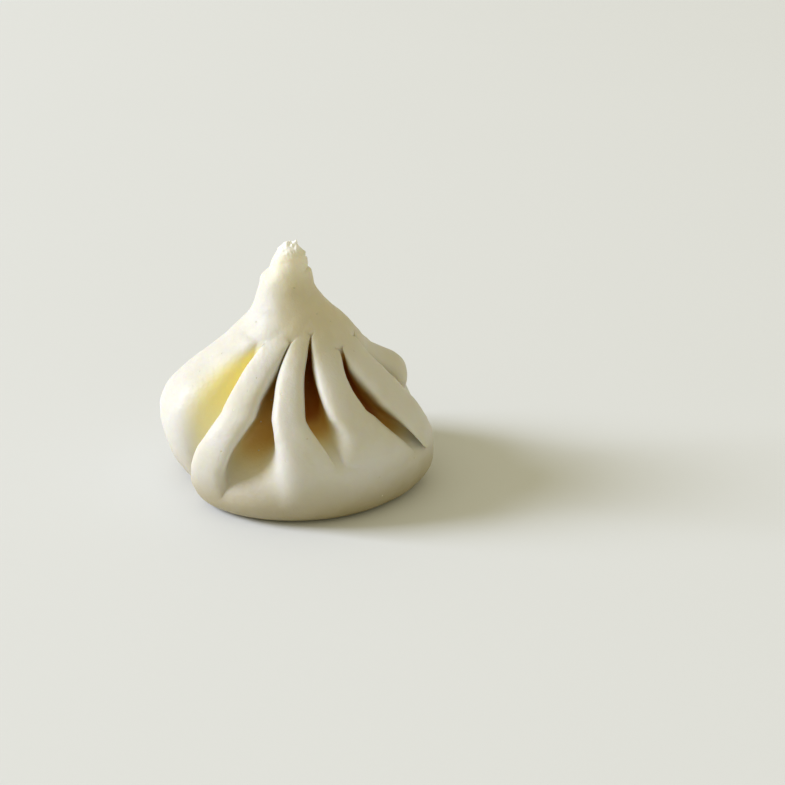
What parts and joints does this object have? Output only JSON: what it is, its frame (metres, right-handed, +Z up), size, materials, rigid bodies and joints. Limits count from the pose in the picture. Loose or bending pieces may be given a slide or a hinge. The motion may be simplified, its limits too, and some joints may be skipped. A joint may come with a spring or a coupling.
{
  "type": "soup dumpling",
  "caption": "Steamed soup dumpling: a plump round of thin dough gathered into deep swirled pleats under a pinched, torn topknot.",
  "frame": {"origin": "the middle of the dumpling's flat foot, on the surface that it rests on", "axes": "+Z up through the topknot, -Y towards the side seen in the picture, +X to the right of that side"},
  "size_m": [0.0418, 0.0411, 0.0378],
  "materials": {
    "dumpling": "satin"
  },
  "bodies": {
    "root": {"dumpling": "dumpling"}
  },
  "joints": []
}
